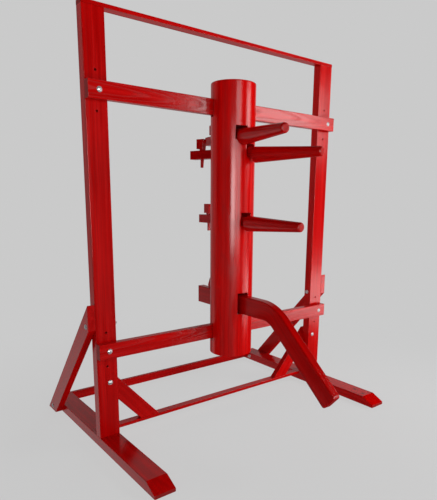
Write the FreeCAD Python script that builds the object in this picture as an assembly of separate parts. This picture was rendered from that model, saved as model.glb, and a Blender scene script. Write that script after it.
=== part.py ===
import FreeCAD, Part
import math
import os

# Free-standing wooden training dummy. Millimetres, +Z up, front of the frame faces -Y.
# Everything is laid out from the front face of the posts (y = 0) and the floor (z = 0);
# at the end all pieces move together so the origin sits under the middle of the whole outline.

# timber sections
BEAM_WIDE, BEAM_THICK = 98.0, 48.0
SLAT_THICK, SLAT_HIGH = 34.0, 72.0
KNEE_THICK, KNEE_WIDE = 32.0, 76.0
STAY_THICK, STAY_WIDE = 34.0, 80.0
BOARD_THICK, CROSS_DEEP, REAR_THICK = 16.0, 42.0, 20.0

# frame
FRAME_WIDTH = 1500.0
POST_TOP = 1903.0
RUNNER_FRONT, RUNNER_BACK = -500.0, 638.0
BEVEL_LONG, TOE_HIGH = 68.0, 15.0
SLAT_Z = {"upper": 1583.0, "lower": 474.0}
HOLE_PITCH = 80.0
KNEE_ANGLE, KNEE_FOOT_IN = 48.0, 407.0
STAY_TOP, STAY_REACH = 690.0, 623.0

# trunk
TRUNK_RADIUS = 110.0
TRUNK_X, TRUNK_Y = -20.0, -52.0
TRUNK_BOTTOM, TRUNK_TOP = 354.0, 1695.0
TRUNK_ROUND, SLIDE_GAP, SLAT_ROOM = 5.0, 2.0, 8.0

# arms: heading in degrees, +ve towards +X, and the distance of the shoulder from the trunk axis
ARM_ROOT, ARM_TIP, ARM_TURNED, TENON_LONG = 38.0, 22.0, 352.0, 392.0
ARM_ROOT_ROUND, ARM_TIP_ROUND = 4.0, 10.0
TENON, TENON_RISE = 43.0, 12.0
ARMS = {
    "upper_left": {"heading": -11.0, "z": 1442.0, "shoulder": 110.5, "slot": (-40.0, 22.0)},
    "upper_right": {"heading": 15.5, "z": 1362.0, "shoulder": 133.0, "slot": (-31.0, 31.0)},
    "middle": {"heading": 0.0, "z": 1035.0, "shoulder": 130.0, "slot": (-28.0, 34.0)},
}
MORTISE_HIGH, THROUGH = 61.0, 160.0

# leg
LEG_WIDE, LEG_DEEP, SHIN_DEEP = 43.0, 92.0, 88.0
LEG_Z, LEG_TAIL, LEG_ANGLE = 626.0, 272.0, 41.0
KNEE_CORNER, SHIN_LOWER = 307.5, 480.0
KNEE_OUTER, KNEE_INNER = 250.0, 90.0
LEG_SLOT, LEG_ROOM = (-39.5, 22.0), 14.0
LEG_KEY_BACK = 186.0
LEG_ROUND, TOE_ROUND = 5.0, 12.0

# keys
KEY_HEAD_WIDE, KEY_SHANK_WIDE = 29.0, 14.0
KEY_STEP, KEY_HEAD_TALL, KEY_BELOW = 21.0, 57.0, 42.0
KEY_TOP_LONG, KEY_TIP_LONG, KEY_FROM_END = 22.0, 8.0, 58.0

# fasteners
BOLT_R, BOLT_HOLE_R = 5.0, 5.25
HEAD_R, HEAD_HIGH = 12.0, 5.5
WASHER_R, WASHER_THICK, NUT_FLATS, NUT_HIGH, BOLT_PROUD = 12.0, 2.0, 17.0, 8.0, 5.0
SCREW_R, SCREW_HEAD_R, SCREW_LONG = 2.5, 5.0, 60.0
GAP, TIGHT = 0.3, 0.4


def vec(x, y, z):
    return FreeCAD.Vector(x, y, z)


def block(x0, x1, y0, y1, z0, z1):
    return Part.makeBox(x1 - x0, y1 - y0, z1 - z0, vec(x0, y0, z0))


def rod(radius, start, direction, length):
    return Part.makeCylinder(radius, length, start, direction)


def side_profile(points, x0, x1):
    """Prism with its outline in the YZ plane, running from x0 to x1."""
    corners = [vec(x0, y, z) for y, z in points]
    return Part.Face(Part.makePolygon(corners + corners[:1])).extrude(vec(x1 - x0, 0, 0))


def front_profile(points, y0, y1):
    """Prism with its outline in the XZ plane, running from y0 to y1."""
    corners = [vec(x, y0, z) for x, z in points]
    return Part.Face(Part.makePolygon(corners + corners[:1])).extrude(vec(0, y1 - y0, 0))


def eased(shape, radius):
    """The shape with all its long sharp edges rounded a little."""
    edges = [e for e in shape.Edges if e.Length > 150 and e.Curve.TypeId == "Part::GeomLine"]
    return shape.makeFillet(radius, edges)


def mirrored(shape):
    return shape.mirror(vec(0, 0, 0), vec(1, 0, 0))


# ---------------------------------------------------------------- fasteners
def bolt(head_point, direction, grip):
    """Round-headed bolt whose head sits on head_point and whose shank runs along direction."""
    tail = grip + WASHER_THICK + NUT_HIGH + BOLT_PROUD
    ball = (HEAD_R ** 2 + HEAD_HIGH ** 2) / (2 * HEAD_HIGH)
    dome = Part.makeSphere(ball, head_point + direction * (ball - HEAD_HIGH))
    cap = dome.common(rod(HEAD_R, head_point - direction * HEAD_HIGH, direction, HEAD_HIGH))
    shank = rod(BOLT_R, head_point, direction, tail)
    return cap.fuse(shank).removeSplitter()


def washer(point, direction):
    disc = rod(WASHER_R, point, direction, WASHER_THICK)
    return disc.cut(rod(BOLT_HOLE_R, point - direction, direction, WASHER_THICK + 2))


def nut(point, direction):
    across = NUT_FLATS / math.sqrt(3)
    other = vec(0, 0, 1).cross(direction)
    corners = []
    for step in range(6):
        angle = math.radians(60 * step)
        corners.append(point + other * (across * math.cos(angle)) + vec(0, 0, across * math.sin(angle)))
    prism = Part.Face(Part.makePolygon(corners + corners[:1])).extrude(direction * NUT_HIGH)
    return prism.cut(rod(BOLT_HOLE_R, point - direction, direction, NUT_HIGH + 2))


def screw(point, direction, extra=0.0):
    """Countersunk screw with its flat head flush at point; extra makes the matching hole."""
    head = Part.makeCone(SCREW_HEAD_R + extra, SCREW_R + extra, SCREW_HEAD_R - SCREW_R,
                         point, direction)
    return head.fuse(rod(SCREW_R + extra, point, direction, SCREW_LONG + extra)).removeSplitter()


half = FRAME_WIDTH / 2
post_in = half - BEAM_WIDE
post_mid = half - BEAM_WIDE / 2
back_y = BEAM_THICK + GAP
board_top = BEAM_THICK + GAP + BOARD_THICK
stay_in = half + GAP
stay_out = stay_in + STAY_THICK

slat_bolts = [(s * post_mid, -SLAT_THICK, z) for s in (-1, 1) for z in SLAT_Z.values()]
knee_bolts = [(s * (post_mid - 11), 0.0, 313.0) for s in (-1, 1)]
stay_bolts = [(s * stay_out, y, z) for s in (-1, 1) for y, z in ((27.0, 588.0), (557.0, 25.0))]
spare_holes = [(s * post_mid, z + step) for s in (-1, 1) for z in SLAT_Z.values()
               for step in (-HOLE_PITCH, HOLE_PITCH)]

bolts, washers, nuts, bolt_holes = [], [], [], []
for x, y, z in slat_bolts:
    bolts.append(("slat_bolts", vec(x, y - GAP, z), vec(0, 1, 0), SLAT_THICK + BEAM_THICK + GAP))
for x, y, z in knee_bolts:
    bolts.append(("knee_bolts", vec(x, y, z), vec(0, 1, 0), BEAM_THICK + GAP + KNEE_THICK))
for x, y, z in stay_bolts:
    inward = vec(-1 if x > 0 else 1, 0, 0)
    bolts.append(("stay_bolts", vec(x, y, z), inward, STAY_THICK + GAP + BEAM_WIDE))
for _, point, way, grip in bolts:
    bolt_holes.append(rod(BOLT_HOLE_R, point - way * 20, way, grip + 60))
    washers.append(washer(point + way * grip, way))
    nuts.append(nut(point + way * (grip + WASHER_THICK), way))

down, up = vec(0, 0, -1), vec(0, 0, 1)
screw_spots = []
for s in (-1, 1):
    for dx in (-25, 25):
        screw_spots.append((vec(s * post_mid + dx, 24, POST_TOP + GAP + BOARD_THICK), down))
        screw_spots.append((vec(s * post_mid + dx, back_y + 21, board_top), down))
        screw_spots.append((vec(s * post_mid + dx, 24, 0), up))
    for z in (14, 34):
        screw_spots.append((vec(s * half, RUNNER_BACK - REAR_THICK / 2, z), vec(-s, 0, 0)))
screw_holes = [screw(point, way, 0.15) for point, way in screw_spots]
all_holes = Part.makeCompound(bolt_holes + screw_holes)


# ---------------------------------------------------------------- frame
parts = {}
low = BEAM_THICK
runner_outline = [
    (RUNNER_FRONT, 0), (RUNNER_BACK, 0), (RUNNER_BACK, low),
    (RUNNER_FRONT + BEVEL_LONG, low), (RUNNER_FRONT, TOE_HIGH),
]
runner = eased(side_profile(runner_outline, post_in, half), 2.0)
post = eased(block(post_in, half, 0, BEAM_THICK, low + GAP, POST_TOP), 2.0)

foot_out = KNEE_FOOT_IN + KNEE_WIDE / math.sin(math.radians(KNEE_ANGLE))
slope = math.tan(math.radians(KNEE_ANGLE))
knee_end = half - 22
knee_outline = [
    (KNEE_FOOT_IN, board_top + GAP), (foot_out, board_top + GAP),
    (knee_end, board_top + (knee_end - foot_out) * slope),
    (knee_end, board_top + (post_in + 12 - KNEE_FOOT_IN) * slope),
    (post_in + 12, board_top + (post_in + 12 - KNEE_FOOT_IN) * slope),
]
knee = eased(front_profile(knee_outline, back_y, back_y + KNEE_THICK), 1.5)

stay_foot = STAY_REACH - STAY_WIDE / math.sin(math.atan2(STAY_TOP, STAY_REACH))
stay_low = STAY_TOP * stay_foot / STAY_REACH
stay_outline = [(0.5, stay_low), (0.5, STAY_TOP - 1), (STAY_REACH, 0.0), (stay_foot, 0.0)]
stay = eased(side_profile(stay_outline, stay_in, stay_out), 1.5)

for name, right in (("runner", runner), ("post", post), ("knee_brace", knee), ("rear_stay", stay)):
    parts[name + "_right"] = right
    parts[name + "_left"] = mirrored(right)

top_board = block(-half, half, 0, BEAM_THICK, POST_TOP + GAP, POST_TOP + GAP + BOARD_THICK)
parts["top_board"] = eased(top_board, 1.5)
parts["cross_board"] = eased(
    block(-half, half, back_y, back_y + CROSS_DEEP, low + GAP, board_top), 1.5)
parts["rear_board"] = eased(
    block(-post_in + GAP, post_in - GAP, RUNNER_BACK - REAR_THICK, RUNNER_BACK, 0, low), 1.5)
for level, z in SLAT_Z.items():
    slat = block(-half, half, -SLAT_THICK - GAP, -GAP, z - SLAT_HIGH / 2, z + SLAT_HIGH / 2)
    parts["slat_" + level] = eased(slat, 2.0)

spare = Part.makeCompound([rod(BOLT_HOLE_R, vec(x, -10, z), vec(0, 1, 0), 80) for x, z in spare_holes])
for name in list(parts):
    parts[name] = parts[name].cut(all_holes)
for side in ("left", "right"):
    parts["post_" + side] = parts["post_" + side].cut(spare)


# ---------------------------------------------------------------- trunk, arms, leg and keys
def placed(shape, heading, z):
    """Turn a piece built along -Y about the trunk axis and lift it to its height."""
    moved = shape.copy()
    moved.rotate(vec(0, 0, 0), vec(0, 0, 1), heading)
    moved.translate(vec(TRUNK_X, TRUNK_Y, z))
    return moved


def turned_arm(shoulder):
    """Tapered round arm about the -Y axis: eased shoulder and tip, square tenon behind."""
    tip = shoulder + ARM_TURNED
    corner = ARM_ROOT_ROUND * (1 - math.sqrt(0.5))
    nose = ARM_TIP_ROUND * (1 - math.sqrt(0.5))
    a = vec(0, -shoulder, 0)
    b = vec(ARM_ROOT - ARM_ROOT_ROUND, -shoulder, 0)
    c = vec(ARM_ROOT, -shoulder - ARM_ROOT_ROUND, 0)
    d = vec(ARM_TIP, -tip + ARM_TIP_ROUND, 0)
    e = vec(ARM_TIP - ARM_TIP_ROUND, -tip, 0)
    f = vec(0, -tip, 0)
    first = Part.Arc(b, vec(ARM_ROOT - corner, -shoulder - corner, 0), c).toShape()
    last = Part.Arc(d, vec(ARM_TIP - nose, -tip + nose, 0), e).toShape()
    lines = [Part.makeLine(p, q) for p, q in ((a, b), (c, d), (e, f), (f, a))]
    outline = Part.Wire([lines[0], first, lines[1], last, lines[2], lines[3]])
    body = Part.Face(outline).revolve(vec(0, 0, 0), vec(0, 1, 0), 360)
    tail = TENON_LONG - shoulder
    square = block(-TENON / 2, TENON / 2, -shoulder - 5, tail,
                   TENON_RISE - TENON / 2, TENON_RISE + TENON / 2)
    square = square.common(rod(ARM_ROOT + 1, vec(0, -shoulder - 5, 0), vec(0, 1, 0), TENON_LONG + 5))
    return body.fuse(square).removeSplitter()


def key(base, way, top, bottom):
    """Wedge key beside the plane y = base; way = 1 puts its step to the rear, -1 to the front."""
    head_top, tip = top + KEY_HEAD_TALL, bottom - KEY_BELOW
    taper = (KEY_TOP_LONG - KEY_TIP_LONG) / (head_top - tip)
    seat = KEY_TOP_LONG - taper * (head_top - top)
    head = [(-KEY_STEP, head_top), (KEY_TOP_LONG, head_top), (seat, top + GAP), (0, top + GAP),
            (0, top + 9), (-KEY_STEP, top + 9)]
    if way < 0:
        head[1:2] = [(KEY_TOP_LONG - 16, head_top), (KEY_TOP_LONG, head_top - 40)]
    shank = [(0, top + 9), (seat, top + 9), (seat, top + GAP), (KEY_TIP_LONG, tip), (0, tip)]
    solid = None
    for outline, wide in ((head, KEY_HEAD_WIDE), (shank, KEY_SHANK_WIDE)):
        piece = side_profile([(base - way * s, z) for s, z in outline], -wide / 2, wide / 2)
        solid = piece if solid is None else solid.fuse(piece)
    return solid.removeSplitter()


def key_slot(base, way, top, bottom):
    """Straight slot through a tenon, just clear of the widest part of the shank."""
    ends = sorted((base + way * TIGHT, base - way * (KEY_TOP_LONG - 4)))
    return block(-KEY_SHANK_WIDE / 2 - TIGHT, KEY_SHANK_WIDE / 2 + TIGHT, ends[0], ends[1],
                 bottom - 5, top + 5)


def leg_blank():
    """Curved leg in the YZ plane: level thigh, rounded knee, straight shin cut off square."""
    turn = math.radians(LEG_ANGLE)
    along = (math.cos(turn), -math.sin(turn))
    normal = (math.sin(turn), math.cos(turn))
    lower, upper = -LEG_DEEP / 2, LEG_DEEP / 2
    toe = (KNEE_CORNER + along[0] * SHIN_LOWER, lower + along[1] * SHIN_LOWER)
    toe_top = (toe[0] + normal[0] * SHIN_DEEP, toe[1] + normal[1] * SHIN_DEEP)
    back = (toe_top[1] - upper) / along[1]
    corner_up = (toe_top[0] - along[0] * back, upper)

    def bend(corner, radius):
        reach = radius * math.tan(turn / 2)
        start = (corner[0] - reach, corner[1])
        centre = (start[0], corner[1] - radius)
        half_way = (centre[0] + radius * math.sin(turn / 2), centre[1] + radius * math.cos(turn / 2))
        finish = (corner[0] + along[0] * reach, corner[1] + along[1] * reach)
        return start, half_way, finish

    def at(point):
        return vec(-LEG_WIDE / 2, -point[0], point[1])

    u1, u2, u3 = bend(corner_up, KNEE_OUTER)
    l1, l2, l3 = bend((KNEE_CORNER, lower), KNEE_INNER)
    edges = [
        Part.makeLine(at((-LEG_TAIL, upper)), at(u1)),
        Part.Arc(at(u1), at(u2), at(u3)).toShape(),
        Part.makeLine(at(u3), at(toe_top)),
        Part.makeLine(at(toe_top), at(toe)),
        Part.makeLine(at(toe), at(l3)),
        Part.Arc(at(l3), at(l2), at(l1)).toShape(),
        Part.makeLine(at(l1), at((-LEG_TAIL, lower))),
        Part.makeLine(at((-LEG_TAIL, lower)), at((-LEG_TAIL, upper))),
    ]
    plank = Part.Face(Part.Wire(edges)).extrude(vec(LEG_WIDE, 0, 0))
    toe_edges = [e for e in plank.Edges
                 if any((v.Point - at(p)).Length < 0.01 for v in e.Vertexes for p in (toe, toe_top))
                 and abs(e.Length - LEG_WIDE) < 0.01]
    plank = plank.makeFillet(TOE_ROUND, toe_edges)
    outline = [e for e in plank.Edges if e.Vertexes[0].Point.x == e.Vertexes[1].Point.x]
    return plank.makeFillet(LEG_ROUND, outline)


trunk = rod(TRUNK_RADIUS, vec(0, 0, TRUNK_BOTTOM), up, TRUNK_TOP - TRUNK_BOTTOM)
trunk = trunk.makeFillet(TRUNK_ROUND, [e for e in trunk.Edges if e.Curve.TypeId == "Part::GeomCircle"])
trunk.translate(vec(TRUNK_X, TRUNK_Y, 0))
for z in SLAT_Z.values():
    trunk = trunk.cut(block(-half, half, -SLAT_THICK - GAP - SLIDE_GAP, -GAP + SLIDE_GAP,
                            z - SLAT_HIGH / 2 - SLAT_ROOM, z + SLAT_HIGH / 2 + TIGHT))

floor_of_slot = TENON_RISE - TENON / 2 - TIGHT
arm_top, arm_bottom = TENON_RISE + TENON / 2, TENON_RISE - TENON / 2
for name, arm in ARMS.items():
    mortise = block(arm["slot"][0], arm["slot"][1], -THROUGH, THROUGH,
                    floor_of_slot, floor_of_slot + MORTISE_HIGH)
    trunk = trunk.cut(placed(mortise, arm["heading"], arm["z"]))
    base = TENON_LONG - arm["shoulder"] - KEY_FROM_END
    solid = turned_arm(arm["shoulder"]).cut(key_slot(base, 1, arm_top, arm_bottom))
    parts["arm_" + name] = placed(solid, arm["heading"], arm["z"])
    parts["key_" + name] = placed(key(base, 1, arm_top, arm_bottom), arm["heading"], arm["z"])

mortise = block(LEG_SLOT[0], LEG_SLOT[1], -THROUGH, THROUGH, -LEG_DEEP / 2 - TIGHT, LEG_DEEP / 2 + LEG_ROOM)
parts["trunk"] = trunk.cut(placed(mortise, 0, LEG_Z))
base = LEG_KEY_BACK - KEY_TOP_LONG
leg = leg_blank().cut(key_slot(base, -1, LEG_DEEP / 2, -LEG_DEEP / 2))
parts["leg"] = placed(leg, 0, LEG_Z)
parts["key_leg"] = placed(key(base, -1, LEG_DEEP / 2, -LEG_DEEP / 2), 0, LEG_Z)

for group in ("slat_bolts", "knee_bolts", "stay_bolts"):
    members = [bolt(point, way, grip) for kind, point, way, grip in bolts if kind == group]
    parts[group] = Part.makeCompound(members)
parts["bolt_washers"] = Part.makeCompound(washers)
parts["bolt_nuts"] = Part.makeCompound(nuts)
parts["wood_screws"] = Part.makeCompound([screw(point, way) for point, way in screw_spots])

middle_y = (parts["leg"].BoundBox.YMin + RUNNER_BACK) / 2
print("origin moved forward by", round(middle_y, 3))
os.makedirs("parts", exist_ok=True)
for name, shape in parts.items():
    shape.translate(vec(0, -middle_y, 0))
    shape.exportStep("parts/" + name + ".step")
    box = shape.BoundBox
    print(name, len(shape.Solids), shape.isValid(), round(shape.Volume / 1000), "cm3",
          [round(v, 1) for v in (box.XMin, box.XMax, box.YMin, box.YMax, box.ZMin, box.ZMax)])
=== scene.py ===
import math

import bpy
from mathutils import Matrix, Vector


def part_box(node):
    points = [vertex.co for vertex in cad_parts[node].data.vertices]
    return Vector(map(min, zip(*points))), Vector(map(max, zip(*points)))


# Looks for a red-stained wooden training dummy. Metres, +Z up, the front faces -Y.
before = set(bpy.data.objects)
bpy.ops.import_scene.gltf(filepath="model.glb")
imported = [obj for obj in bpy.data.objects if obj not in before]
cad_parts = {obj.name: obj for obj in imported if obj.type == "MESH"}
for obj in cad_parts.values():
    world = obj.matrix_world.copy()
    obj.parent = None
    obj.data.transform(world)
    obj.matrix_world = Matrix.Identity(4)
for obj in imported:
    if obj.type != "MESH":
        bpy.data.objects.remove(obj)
bpy.context.view_layer.update()
scene = bpy.context.scene
scene.view_settings.view_transform = "Standard"


# ---------------------------------------------------------------- camera
# The heading turns clockwise from +Y seen from above; all three angles are in degrees. The
# focal length and the shift are shares of the sensor's size.
CAMERA_AT = Vector((-1.5755, -1.9182, 1.1543))
CAMERA_HEADING, CAMERA_TILT, CAMERA_ROLL = 38.23, -11.57, 0.58
SENSOR = 36.0
FOCAL_SHARE = 0.9634
SHIFT = (-0.0158, 0.0944)


def make_camera():
    """Camera left of the front, a little over a metre up, looking slightly down."""
    heading, tilt = math.radians(CAMERA_HEADING), math.radians(CAMERA_TILT)
    forward = Vector((math.sin(heading) * math.cos(tilt),
                      math.cos(heading) * math.cos(tilt), math.sin(tilt)))
    level = Vector((math.cos(heading), -math.sin(heading), 0))
    upright = level.cross(forward)
    roll = math.radians(CAMERA_ROLL)
    right = level * math.cos(roll) + upright * math.sin(roll)
    up = upright * math.cos(roll) - level * math.sin(roll)
    data = bpy.data.cameras.new("camera")
    data.sensor_width = SENSOR
    data.lens = SENSOR * FOCAL_SHARE
    data.shift_x, data.shift_y = SHIFT
    camera = bpy.data.objects.new("camera", data)
    turn = Matrix((right, up, -forward)).transposed()
    camera.matrix_world = Matrix.Translation(CAMERA_AT) @ turn.to_4x4()
    scene.collection.objects.link(camera)
    scene.camera = camera


# ---------------------------------------------------------------- node helpers
class Graph:
    """Small wrapper that adds shader nodes and wires them as they are made."""

    def __init__(self, tree):
        self.tree = tree
        tree.nodes.clear()

    def add(self, kind, inputs=None, out=0, **settings):
        """Make one node, give its inputs values or links, and return its output out."""
        made = self.tree.nodes.new(kind)
        for name, value in settings.items():
            setattr(made, name, value)
        for name, value in (inputs or {}).items():
            socket = made.inputs[name]
            if isinstance(value, bpy.types.NodeSocket):
                self.tree.links.new(value, socket)
            else:
                socket.default_value = value
        return made.outputs[out] if len(made.outputs) else None

    def math(self, operation, *values):
        return self.add("ShaderNodeMath", dict(enumerate(values)), operation=operation)

    def vector(self, operation, *values, out=0):
        return self.add("ShaderNodeVectorMath", dict(enumerate(values)), out=out,
                        operation=operation)

    def noise(self, where, scale, detail=2.0, rough=0.5, out=0):
        return self.add("ShaderNodeTexNoise", {"Vector": where, "Scale": scale,
                        "Detail": detail, "Roughness": rough}, out=out)

    def mix(self, share, first, second):
        return self.add("ShaderNodeMix", {0: share, 6: first, 7: second}, out=2,
                        data_type="RGBA", blend_type="MIX")

    def span(self, value, low, high, out_low=0.0, out_high=1.0):
        """Smooth step from out_low at low to out_high at high."""
        return self.add("ShaderNodeMapRange", {"Value": value, "From Min": low,
                        "From Max": high, "To Min": out_low, "To Max": out_high},
                        interpolation_type="SMOOTHSTEP")


def shade(red, green, blue):
    """Opaque colour for a socket."""
    return (red, green, blue, 1.0)


# ---------------------------------------------------------------- wood
# Repeats per metre of each pattern: across the log, across it the other way, and along it.
SWAY_PACE, STREAK_PACE, FIBRE_PACE = (3.0, 3.0, 1.3), (60.0, 60.0, 1.6), (520.0, 520.0, 14.0)
PATCH_PACE, KNOT_PACE, RUB_PACE = (7.0, 7.0, 2.6), (9.0, 9.0, 3.6), (40.0, 40.0, 12.0)
# Where each pattern fades in: its value there, and its value where it is full.
STREAK_SPAN, STREAK_GLOSS_SPAN = (0.32, 0.7), (0.25, 0.75)
FIBRE_SPAN, PATCH_SPAN, RUB_SPAN = (0.5, 0.75), (0.5, 0.78), (0.4, 0.62)
# Late wood darkens over the first part of a growth ring, and ends over the second.
LATE_START, LATE_END = (0.35, 0.88), (1.0, 0.9)
# A scattered knot's rim and its halo's, in knot cells, then an extra knot's, in metres.
KNOT_RIM, HALO_RIM = (0.16, 0.07), (0.42, 0.12)
EXTRA_KNOT_RIM, EXTRA_HALO_RIM = (0.013, 0.006), (0.03, 0.01)
# How square to the grain a cut end is, and how far the normal turns at a rubbed edge.
END_SPAN, EDGE_SPAN = (0.8, 0.95), (0.02, 0.16)
HALO_DARK, KNOT_DARK, END_RING_DARK = 0.35, 0.85, 0.6
FIBRE_RISE, STREAK_RISE, KNOT_RISE = 0.5, 0.6, -0.8
GLOSS_SPREAD, WORN_ROUGH, END_ROUGH = 0.04, 0.12, 0.25
BUMP_DEPTH, BEND_REACH = 0.001, 0.08


def log_place(g, moved, side, along):
    """Place inside the log: across it, across it the other way, and along it."""
    axes = (side, along.cross(side), along)
    parts = [g.vector("DOT_PRODUCT", moved, axis, out=1) for axis in axes]
    return g.add("ShaderNodeCombineXYZ", dict(enumerate(parts)))


def log_noise(g, log, pace, detail, rough, out=0):
    """Noise that is stretched along the log."""
    return g.noise(g.vector("MULTIPLY", log, pace), 1.0, detail, rough, out)


def growth(g, log, look):
    """The log's sway, the swayed place, and the dark late wood of each growth ring."""
    sway = log_noise(g, log, SWAY_PACE, 3.0, 0.5, out=1)
    sway = g.vector("SUBTRACT", sway, (0.5, 0.5, 0.5))
    sway = g.vector("MULTIPLY", sway, (look["sway"], look["sway"], 0.0))
    bent = g.vector("ADD", log, sway)
    radius = g.vector("LENGTH", g.vector("MULTIPLY", bent, (1.0, 1.0, 0.0)), out=1)
    ring = g.math("FRACT", g.math("DIVIDE", radius, look["ring_gap"]))
    late = g.math("MULTIPLY", g.span(ring, *LATE_START), g.span(ring, *LATE_END))
    return sway, bent, late


def knot_marks(g, log, share, swayed, extra):
    """Knots and the darker halo round each: a share of scattered ones, and the extra ones."""
    cells = g.vector("MULTIPLY", log, KNOT_PACE)
    distance = g.add("ShaderNodeTexVoronoi", {"Vector": cells, "Scale": 1.0}, out=0)
    pick = g.add("ShaderNodeTexVoronoi", {"Vector": cells, "Scale": 1.0}, out=1)
    chosen = g.span(g.vector("DOT_PRODUCT", pick, (1, 0, 0), out=1), 1.0 - share, 1.01 - share)
    knot = g.math("MULTIPLY", g.span(distance, *KNOT_RIM), chosen)
    halo = g.math("MULTIPLY", g.span(distance, *HALO_RIM), chosen)
    for centre in extra:
        near = g.vector("DISTANCE", swayed, Vector(centre), out=1)
        knot = g.math("MAXIMUM", knot, g.span(near, *EXTRA_KNOT_RIM))
        halo = g.math("MAXIMUM", halo, g.span(near, *EXTRA_HALO_RIM))
    return knot, halo


def wood(name, grain, pith, colours, look, knots=(), bend=None):
    """Stained timber cut from a log: growth rings round the pith, fibres along the grain,
    patches where the stain is thinner, and rubbed edges. grain is a direction, pith a point
    that the log's middle line passes through, knots the places of extra knots. A bent log
    takes the direction bend instead of grain on the far side of its pith point."""
    material = bpy.data.materials.new(name)
    material.use_nodes = True
    g = Graph(material.node_tree)
    along = Vector(grain).normalized()
    side = (along.cross(bend) if bend else along.orthogonal()).normalized()
    place = g.add("ShaderNodeTexCoord", out=3)
    moved = g.vector("SUBTRACT", place, Vector(pith))
    log = log_place(g, moved, side, along)
    if bend:
        past = g.vector("DOT_PRODUCT", moved, along, out=1)
        far = g.span(past, -BEND_REACH, BEND_REACH)
        log = g.add("ShaderNodeMix", {0: far, 4: log, 5: log_place(g, moved, side, bend)},
                    out=1, data_type="VECTOR")

    sway, bent, late = growth(g, log, look)
    streak = log_noise(g, bent, STREAK_PACE, 4.0, 0.6)
    fibre = log_noise(g, bent, FIBRE_PACE, 2.0, 0.5)
    patch = log_noise(g, log, PATCH_PACE, 3.0, 0.55)
    knot, halo = knot_marks(g, log, look["knots"], g.vector("ADD", place, sway), knots)

    soft_normal = g.add("ShaderNodeBevel", {"Radius": look["edge"]}, samples=4)
    flat_normal = g.add("ShaderNodeNewGeometry", out=1)
    facing = g.math("ABSOLUTE", g.vector("DOT_PRODUCT", flat_normal, along, out=1))
    cut_end = g.span(facing, *END_SPAN)
    edge = g.math("SUBTRACT", 1.0, g.vector("DOT_PRODUCT", soft_normal, flat_normal, out=1))
    rub = log_noise(g, log, RUB_PACE, 3.0, 0.6)
    worn = g.math("MULTIPLY", g.span(edge, *EDGE_SPAN), g.span(rub, *RUB_SPAN))

    tone = g.mix(g.span(streak, *STREAK_SPAN), shade(*colours["deep"]), shade(*colours["mid"]))
    for colour, amount, most in (
            ("thin", g.span(patch, *PATCH_SPAN), look["thin"]),
            ("ring", late, look["ring_dark"]),
            ("ring", g.span(fibre, *FIBRE_SPAN), look["fibre"]),
            ("ring", halo, HALO_DARK),
            ("knot", knot, KNOT_DARK)):
        tone = g.mix(g.math("MULTIPLY", amount, most), tone, shade(*colours[colour]))
    end_tone = g.mix(g.math("MULTIPLY", late, END_RING_DARK), shade(*colours["end"]),
                     shade(*colours["end_ring"]))
    tone = g.mix(g.math("MULTIPLY", cut_end, look["end"]), tone, end_tone)
    tone = g.mix(g.math("MULTIPLY", worn, look["wear"]), tone, shade(*colours["worn"]))

    gloss = g.span(streak, *STREAK_GLOSS_SPAN, look["rough"] - GLOSS_SPREAD,
                   look["rough"] + GLOSS_SPREAD)
    for amount, most in ((late, look["ring_rough"]), (worn, WORN_ROUGH), (cut_end, END_ROUGH)):
        gloss = g.math("ADD", gloss, g.math("MULTIPLY", amount, most))

    height = g.math("MULTIPLY", late, look["ring_bump"])
    for amount, most in ((fibre, FIBRE_RISE), (streak, STREAK_RISE), (knot, KNOT_RISE)):
        height = g.math("ADD", height, g.math("MULTIPLY", amount, most))
    bumped = g.add("ShaderNodeBump", {"Height": height, "Strength": look["bump"],
                   "Distance": BUMP_DEPTH, "Normal": soft_normal})

    surface = g.add("ShaderNodeBsdfPrincipled", {
        "Base Color": tone, "Roughness": gloss, "Normal": bumped, "Specular IOR Level": 0.5})
    g.add("ShaderNodeOutputMaterial", {"Surface": surface})
    return material


def stain(red):
    """Colours of one strength of red stain, from the bright wood down to the knots."""
    return {
        "deep": (0.74 * red, 0.0004, 0.0004), "mid": (1.04 * red, 0.0007, 0.0006),
        "thin": (1.14 * red, 0.003, 0.002), "ring": (0.55 * red, 0.0004, 0.0004),
        "knot": (0.10 * red, 0.003, 0.003), "worn": (0.42 * red, 0.012, 0.006),
        "end": (0.42 * red, 0.004, 0.002), "end_ring": (0.2 * red, 0.003, 0.002),
    }


FRAME_STAIN, TRUNK_STAIN, LEG_STAIN = stain(0.625), stain(0.79), stain(0.57)
ARM_STAIN, KEY_STAIN = stain(0.56), stain(0.60)
# In metres: how far the log sways, the gap between its growth rings, and the radius of a
# rubbed edge. knots is the share of knot cells with a knot, and the rest are strengths.
BOARD_LOOK = {"sway": 0.03, "ring_gap": 0.0052, "ring_dark": 0.32, "ring_rough": 0.05,
              "ring_bump": 0.55, "thin": 0.25, "knots": 0.05, "edge": 0.0025, "wear": 0.45,
              "rough": 0.17, "bump": 0.05, "fibre": 0.16, "end": 0.7}
SLAT_LOOK = dict(BOARD_LOOK, ring_gap=0.0048, ring_dark=0.26, ring_rough=0.12, ring_bump=2.2)
TRUNK_LOOK = dict(BOARD_LOOK, sway=0.05, ring_gap=0.0080, ring_dark=0.24, knots=0.03,
                  edge=0.004, wear=0.4, rough=0.18, bump=0.04)
TURNED_LOOK = dict(BOARD_LOOK, sway=0.02, ring_gap=0.0040, thin=0.15, knots=0.0,
                   edge=0.003, wear=0.4, end=0.0)
LEG_LOOK = dict(TURNED_LOOK, ring_gap=0.0090, ring_dark=0.12, fibre=0.08)


def node_middle(name):
    """Middle of a frame node's box."""
    low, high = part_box(name)
    return (low + high) / 2


def dress(name, material):
    """Give every material slot of a frame node this material."""
    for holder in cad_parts[name].material_slots:
        holder.material = material


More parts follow.
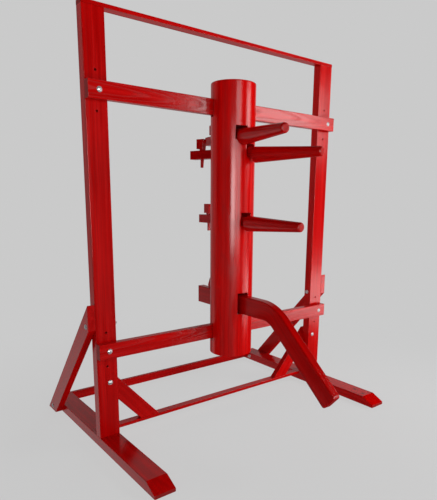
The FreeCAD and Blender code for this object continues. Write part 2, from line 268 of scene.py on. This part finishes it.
def dress_timber(name, grain, offset, colours=FRAME_STAIN, look=BOARD_LOOK, knots=()):
    """Wood for one node; offset moves the log's middle away from the node's middle."""
    pith = node_middle(name) + Vector(offset)
    dress(name, wood("wood_" + name, grain, pith, colours, look, knots))


# ---------------------------------------------------------------- metal
# Repeats per metre of the cloudy plating and of the fine bumps.
CLOUD_PACE, FINE_PACE = 260.0, 1400.0
SCUFF_SHADE, SCUFF_SPAN, CLOUD_SPAN = 0.55, (0.45, 0.75), (0.3, 0.7)
METAL_BUMP, METAL_BUMP_DEPTH = 0.2, 0.0002


def metal(name, colour, rough, scuff, shine):
    """Plated steel: cloudy plating, small dull scuffs and very fine bumps."""
    material = bpy.data.materials.new(name)
    material.use_nodes = True
    g = Graph(material.node_tree)
    place = g.add("ShaderNodeTexCoord", out=3)
    cloud = g.noise(place, CLOUD_PACE, 3.0, 0.6)
    fine = g.noise(place, FINE_PACE, 2.0, 0.5)
    dark = tuple(SCUFF_SHADE * part for part in colour)
    scuffed = g.math("MULTIPLY", g.span(cloud, *SCUFF_SPAN), scuff)
    tone = g.mix(scuffed, shade(*colour), shade(*dark))
    gloss = g.span(cloud, *CLOUD_SPAN, rough - 0.06, rough + 0.1)
    bumped = g.add("ShaderNodeBump", {"Height": fine, "Strength": METAL_BUMP,
                   "Distance": METAL_BUMP_DEPTH})
    surface = g.add("ShaderNodeBsdfPrincipled", {
        "Base Color": tone, "Metallic": shine, "Roughness": gloss, "Normal": bumped})
    g.add("ShaderNodeOutputMaterial", {"Surface": surface})
    return material


# ---------------------------------------------------------------- dressing the frame nodes
UP, ACROSS, BACK = (0, 0, 1), (1, 0, 0), (0, 1, 0)
# The shin's direction from toe to knee, a point near the knee on the middle line of the
# leg's log, and the places of two knots of the right runner.
SHIN, LEG_PITH = (0, 0.755, 0.656), (0.03, -0.3, 0.63)
RUNNER_KNOTS = ((0.712, -0.267, 0.048), (0.694, -0.337, 0.048))
KNEE_BRACE_SLOPE = 48


def lean(angle, side):
    """Direction of a brace that rises towards side, angle degrees from level."""
    turn = math.radians(angle)
    return (side * math.cos(turn), 0, math.sin(turn))


def dress_everything():
    """Stained wood for every timber, with its grain along it, and zinc for every fastener."""
    for side, name in ((-1, "left"), (1, "right")):
        dress_timber("post_" + name, UP, (0.05 * side, 0.035, 0))
        knots = RUNNER_KNOTS if side > 0 else ()
        dress_timber("runner_" + name, BACK, (0.03 * side, 0, 0.04), knots=knots)
        dress_timber("knee_brace_" + name, lean(KNEE_BRACE_SLOPE, side), (0.02, 0.03, 0.02))
        stay_low, stay_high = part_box("rear_stay_" + name)
        slope = (0, stay_high.y - stay_low.y, stay_low.z - stay_high.z)
        dress_timber("rear_stay_" + name, slope, (0.04 * side, 0.01, 0.02))
    dress_timber("top_board", ACROSS, (0, 0.02, 0.05))
    dress_timber("cross_board", ACROSS, (0, 0.03, -0.05))
    dress_timber("rear_board", ACROSS, (0, -0.04, 0.03))
    dress_timber("slat_upper", (1, 0.03, 0.004), (0, 0.06, 0.006), look=SLAT_LOOK)
    dress_timber("slat_lower", (1, 0.02, 0.01), (0, 0.06, 0.03), look=SLAT_LOOK)
    dress_timber("trunk", UP, (0.012, 0.02, 0), TRUNK_STAIN, TRUNK_LOOK)
    for name in ("upper_left", "upper_right", "middle"):
        tail = node_middle("key_" + name) - node_middle("trunk")
        heading = (tail.x, tail.y, 0)
        dress_timber("arm_" + name, heading, (0.03, 0, 0.02), ARM_STAIN, TURNED_LOOK)
        dress_timber("key_" + name, UP, (0.02, 0.03, 0), KEY_STAIN, TURNED_LOOK)
    dress("leg", wood("wood_leg", SHIN, LEG_PITH, LEG_STAIN, LEG_LOOK, bend=Vector(BACK)))
    dress_timber("key_leg", UP, (0.02, 0.03, 0), KEY_STAIN, TURNED_LOOK)
    bright = metal("bright_zinc", (0.90, 0.91, 0.92), 0.22, 0.3, 0.6)
    dull = metal("dull_zinc", (0.42, 0.41, 0.40), 0.38, 0.7, 1.0)
    for name in ("slat_bolts", "knee_bolts", "stay_bolts", "bolt_washers", "bolt_nuts"):
        dress(name, bright)
    dress("wood_screws", dull)


# ---------------------------------------------------------------- studio
# The backdrop's grey, and the ball on which the cards for the sheen stand, facing its middle.
BACKDROP = 0.591
STUDIO_RADIUS = 4.0
STUDIO_MIDDLE = Vector((0, 0, 1.0))
# The floor takes shadows in full within the first radius of FLOOR_NEAR, and beyond the
# second it only glows like the backdrop. It lies just under the object's feet.
FLOOR_REACH, FLOOR_NEAR, FLOOR_BELOW = 60.0, (0.9, 2.3), 0.0015
FLOOR_MATTE, FLOOR_DIM, FLOOR_BOUNCE_LOSS = 0.10, 0.05, 0.22
SPECK_PACE = 90.0
WHITE = shade(1, 1, 1)


def make_floor():
    """Pale floor that fades into the backdrop, so no horizon line shows. Only its part near
    the dummy takes shadows, and matte surfaces get a little less light from it."""
    bpy.ops.mesh.primitive_circle_add(vertices=96, radius=FLOOR_REACH, fill_type="NGON",
                                      location=(0, 0, -FLOOR_BELOW))
    floor = bpy.context.object
    floor.name = "floor"
    floor.visible_glossy = False
    material = bpy.data.materials.new("floor")
    material.use_nodes = True
    g = Graph(material.node_tree)
    place = g.add("ShaderNodeTexCoord", out=3)
    near = g.span(g.vector("LENGTH", place, out=1), FLOOR_NEAR[1], FLOOR_NEAR[0])
    speck = g.noise(place, SPECK_PACE, 3.0, 0.6)
    pale = g.mix(g.span(speck, 0.3, 0.7), shade(0.97, 0.97, 0.97), WHITE)
    share = g.math("MULTIPLY", near, FLOOR_MATTE)
    tone = g.vector("SCALE", pale)
    g.tree.links.new(share, tone.node.inputs["Scale"])
    own = g.math("SUBTRACT", BACKDROP, g.math("MULTIPLY", near, FLOOR_DIM))
    bounce = g.add("ShaderNodeLightPath").node.outputs["Is Diffuse Ray"]
    passed = g.math("SUBTRACT", 1.0, g.math("MULTIPLY", bounce, FLOOR_BOUNCE_LOSS))
    own = g.math("MULTIPLY", own, passed)
    glow = g.add("ShaderNodeEmission", {"Color": WHITE, "Strength": own})
    matte = g.add("ShaderNodeBsdfDiffuse", {"Color": tone})
    both = g.add("ShaderNodeAddShader", {0: glow, 1: matte})
    g.add("ShaderNodeOutputMaterial", {"Surface": both})
    floor.data.materials.append(material)


def toward(azimuth, height):
    """Unit direction from the object: azimuth 0 is the front (-Y), 90 is +X."""
    turn, rise = math.radians(azimuth), math.radians(height)
    return Vector((math.sin(turn) * math.cos(rise), -math.cos(turn) * math.cos(rise),
                   math.sin(rise)))


# azimuth, height, reach and brightness of each pale patch of wall or floor
PALE_WALLS = ((150, 8, 50, 0.28), (117, 5, 24, 0.3), (203, 8, 34, 0.2), (209, -27, 20, 0.45))
DARK_ROOM = 0.004


def make_world():
    """Even grey backdrop for the camera, and faint pale walls behind for the gloss."""
    world = bpy.data.worlds.new("studio")
    scene.world = world
    world.use_nodes = True
    g = Graph(world.node_tree)
    way = g.add("ShaderNodeTexCoord", out=0)
    gloss = DARK_ROOM
    for azimuth, height, reach, level in PALE_WALLS:
        facing = g.vector("DOT_PRODUCT", way, toward(azimuth, height), out=1)
        lobe = g.span(facing, math.cos(math.radians(reach)), math.cos(math.radians(reach / 3)))
        gloss = g.math("ADD", gloss, g.math("MULTIPLY", lobe, level))
    rays = g.add("ShaderNodeLightPath").node.outputs
    strength = g.math("ADD", g.math("MULTIPLY", rays["Is Camera Ray"], BACKDROP),
                      g.math("MULTIPLY", rays["Is Glossy Ray"], gloss))
    background = g.add("ShaderNodeBackground", {"Color": WHITE, "Strength": strength})
    g.add("ShaderNodeOutputWorld", {"Surface": background})


def softbox(name, at, aim, width, height, power, gloss=False, matte=True):
    """Soft light that reaches matte surfaces, shows in reflections, or does both."""
    data = bpy.data.lights.new(name, "AREA")
    data.shape = "RECTANGLE"
    data.size, data.size_y = width, height
    data.energy = power
    light = bpy.data.objects.new(name, data)
    light.location = at
    light.rotation_euler = (Vector(aim) - Vector(at)).to_track_quat("-Z", "Y").to_euler()
    light.visible_camera = False
    light.visible_diffuse = matte
    light.visible_glossy = gloss
    scene.collection.objects.link(light)


def sheen_card(name, azimuth, height, wide, tall, radiance, matte=False):
    """Card on the studio's wall that reflections see; wide and tall are in degrees."""
    at = STUDIO_MIDDLE + toward(azimuth, height) * STUDIO_RADIUS
    width, high = (math.radians(angle) * STUDIO_RADIUS for angle in (wide, tall))
    power = radiance * math.pi * width * high
    softbox(name, at, STUDIO_MIDDLE, width, high, power, gloss=True, matte=matte)


def make_lights():
    """Softboxes for the matte light, in watts, and cards for the sheen, in radiance."""
    softbox("low_box", (2.0, -1.6, 0.35), (0.6, 0, 0.6), 1.0, 0.5, 20.0)
    softbox("side_box", (2.1, -1.5, 1.95), (0.7, 0.1, 1.0), 1.0, 0.6, 26.0)
    softbox("left_box", (-4.2, -0.6, 1.6), STUDIO_MIDDLE, 2.0, 2.0, 9.0)
    softbox("back_box_right", (3.0, 3.2, 2.0), STUDIO_MIDDLE, 2.5, 2.5, 50.0)
    softbox("top_box", (0, -0.3, 2.6), STUDIO_MIDDLE, 1.0, 0.6, 2.2)
    softbox("back_box_left", (-3.0, 3.2, 2.0), STUDIO_MIDDLE, 2.5, 2.5, 28.0)
    sheen_card("bright_card", -35.5, 2.5, 20, 17, 9.5)
    sheen_card("wide_card", -11, 8, 26, 30, 3.4, matte=True)
    sheen_card("window", 43.5, 15.5, 23, 11, 5.2, matte=True)
    sheen_card("low_window", 45, -16, 40, 9, 3.0)
    sheen_card("low_near", 37, -1, 22, 14, 0.45)
    sheen_card("low_far", 76, 2, 20, 20, 0.2)


make_camera()
dress_everything()
make_floor()
make_world()
make_lights()
